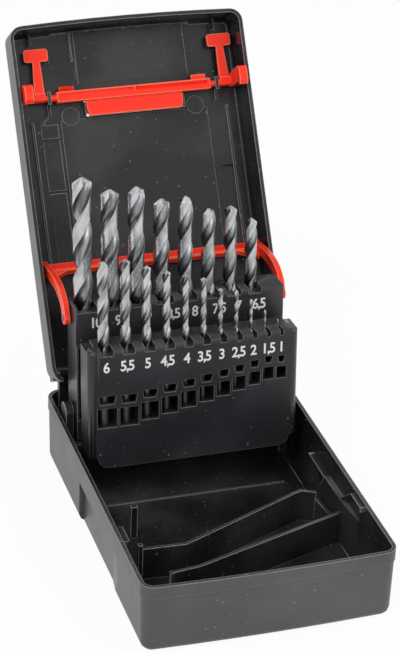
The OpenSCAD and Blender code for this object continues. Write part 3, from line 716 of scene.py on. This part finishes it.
for side in ("left", "right"):
    low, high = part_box("hinge_pin_" + side)
    clear()
    bpy.ops.mesh.primitive_cylinder_add(
        vertices=PIN_SIDES, radius=(high.z - low.z) / 2, depth=high.x - low.x,
        location=(low + high) / 2, rotation=(0, math.pi / 2, 0))
    pin = fresh("pin_" + side)
    bpy.ops.object.transform_apply(location=True, rotation=True, scale=True)
    choose(pin, "faces", lambda face: abs(face.normal.x) > 0.9)
    bpy.ops.mesh.bevel(offset=PIN_RIM, segments=3, affect="EDGES")
    weld(pin)
    settle(pin)
    put(pin, pin_steel)
    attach(pin, "lid")
    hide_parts("hinge_pin_" + side)
    print(pin.name, "from", round(low.x, 4), "to", round(high.x, 4))

# %% [markdown]
# ## Printed sizes
#
# Each size is a text object, thickened a little to the weight of the real
# print, turned into a mesh and stood on the face of its rack. It could be a
# picture on the plastic instead, but a mesh stays sharp at any distance. The
# ink lies three hundredths of a millimetre proud of the plastic.

# %% Numbers on both racks
FIGURE, CAPITAL, BOLD, SPACING, NARROW = 0.0057, 0.72, 0.03, 0.88, 0.88
PROUD = 0.00003
FRONT_FACE, FRONT_HEIGHT, BACK_FACE, BACK_HEIGHT = 0.0, 0.0565, 0.0265, 0.0698


def print_size(words, x, face, height):
    """One size as a thin mesh on a face of the holder."""
    clear()
    bpy.ops.object.text_add(location=(0, 0, 0))
    label = fresh("size_" + words.replace(",", "_"))
    label.data.body = words
    label.data.size = FIGURE / CAPITAL
    label.data.offset = FIGURE * BOLD
    label.data.space_character = SPACING
    label.data.align_x, label.data.align_y = "CENTER", "CENTER"
    bpy.ops.object.convert(target="MESH")
    label = fresh(label.name)
    upright = Matrix.Rotation(math.pi / 2, 4, "X") @ Matrix.Diagonal((NARROW, 1, 1, 1))
    return settle(label, HOLDER @ Matrix.Translation((x, face - PROUD, height)) @ upright)


def print_row(name, sizes, face, height):
    """One row of sizes, joined into one piece."""
    labels = [print_size(words, x * MM, face, height) for words, x in sizes]
    clear()
    for label in labels:
        label.select_set(True)
    bpy.context.view_layer.objects.active = labels[0]
    bpy.ops.object.join()
    return fresh(name)


FRONT = [("6", -46.7), ("5,5", -35.7), ("5", -25), ("4,5", -14.5), ("4", -4.4), ("3,5", 4.9),
         ("3", 14.2), ("2,5", 23.3), ("2", 31.2), ("1,5", 39.3), ("1", 46.2)]
BACK = [("10", -45), ("9,5", -31), ("9", -17), ("8,5", -3.6), ("8", 8), ("7,5", 21.2),
        ("7", 31.5), ("6,5", 42.8)]
for row in (print_row("sizes_front", FRONT, FRONT_FACE, FRONT_HEIGHT),
            print_row("sizes_back", BACK, BACK_FACE, BACK_HEIGHT)):
    put(row, ink)
    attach(row, "holder")
    print(row.name, "faces:", len(row.data.polygons))

# %% [markdown]
# ## Floor
#
# The case stands on a pale floor. More light would wash out the case before
# the floor turned white. So to the camera, and to rays that come by way of a
# mirror or glass, the floor is mostly bright by itself. What is left of its
# plain shading shows the case's soft shadow.

# %% Floor
FLOOR_SIZE, FLOOR_WHITE, GLOW_SHARE = 14, (0.88, 0.88, 0.88), 0.94

clear()
bpy.ops.mesh.primitive_plane_add(size=FLOOR_SIZE, location=(0, 0, 0))
floor = fresh("floor")


def floor_finish():
    f = Finish("floor_white")
    f.set(Base_Color=FLOOR_WHITE, Roughness=0.9)
    direct, mirrored, through = (
        f.node("ShaderNodeLightPath", out=ray)
        for ray in ("Is Camera Ray", "Is Glossy Ray", "Is Transmission Ray"))
    glow = f.node("ShaderNodeEmission", {}, {"Color": (1.0, 1.0, 1.0), "Strength": 1.0})
    mixed = f.node("ShaderNodeMixShader", {}, {0: (direct + mirrored + through) * GLOW_SHARE,
                                               1: Wire(f, f.shader.outputs[0]), 2: glow})
    f.feed(f.tree.nodes["Material Output"].inputs["Surface"], mixed)
    return f.material


put(floor, floor_finish())
print("floor:", [round(side, 1) for side in floor.dimensions])

# %% [markdown]
# ## Room light and lamps
#
# A white room lights the case evenly from all sides. It is full white where
# the camera or a mirrored ray sees it, and dimmer as a light, so that black
# plastic stays black. Three large soft lamps give the shapes their shading
# and leave no hard shadow.

# %% Room and lamps
ROOM_LIGHT, ROOM_SEEN = 0.62, 1.0
AIM = Vector((0, 0.08, 0.08))

world = bpy.data.worlds.new("white_room")
bpy.context.scene.world = world
world.use_nodes = True
room = Graph(world.node_tree)
background = room.tree.nodes["Background"]
seen = room.node("ShaderNodeMath", {"operation": "MAXIMUM"},
                 {0: room.node("ShaderNodeLightPath", out="Is Camera Ray"),
                  1: room.node("ShaderNodeLightPath", out="Is Glossy Ray")})
strength = room.node("ShaderNodeMapRange", {},
                     {"Value": seen, "To Min": ROOM_LIGHT, "To Max": ROOM_SEEN})
room.feed(background.inputs["Color"], (1, 1, 1))
room.feed(background.inputs["Strength"], strength)

for name, place, size, power in (
        ("key_lamp", (-0.75, -0.55, 1.25), (0.7, 0.7), 7.0),
        ("side_lamp", (1.1, -0.25, 0.75), (0.5, 0.8), 3.5),
        ("front_lamp", (0.1, -1.4, 0.55), (0.9, 0.5), 3.0)):
    clear()
    bpy.ops.object.light_add(type="AREA", location=place)
    lamp = fresh(name)
    lamp.rotation_euler = (AIM - Vector(place)).to_track_quat("-Z", "Y").to_euler()
    lamp.data.shape = "RECTANGLE"
    lamp.data.size, lamp.data.size_y = size
    lamp.data.energy = power
    print(name, "at", brief(lamp.location, 2), power, "W")

# %% [markdown]
# ## Camera
#
# The camera stands above and in front, a little to the left, and far enough
# away that the walls look nearly parallel. Its place was found by fitting the
# case's straight edges to a picture of the real one. The small shift only
# frames the case.

# %% Camera
CAMERA_PLACE = (-0.33290499, -0.97539895, 0.68462385)
CAMERA_TURN = (61.68499943, -1.43861714, -16.45695908)
FOCAL_LENGTH, SENSOR = 132.6, 36
SHIFT, CLIP = (0.06058, -0.03400), (0.01, 60)

clear()
bpy.ops.object.camera_add(location=CAMERA_PLACE,
                          rotation=tuple(math.radians(a) for a in CAMERA_TURN))
camera = fresh("camera")
camera.data.lens, camera.data.sensor_width = FOCAL_LENGTH, SENSOR
camera.data.shift_x, camera.data.shift_y = SHIFT
camera.data.clip_start, camera.data.clip_end = CLIP
bpy.context.scene.camera = camera
bpy.context.scene.view_settings.view_transform = "Standard"
print("camera at", brief(camera.location, 3))
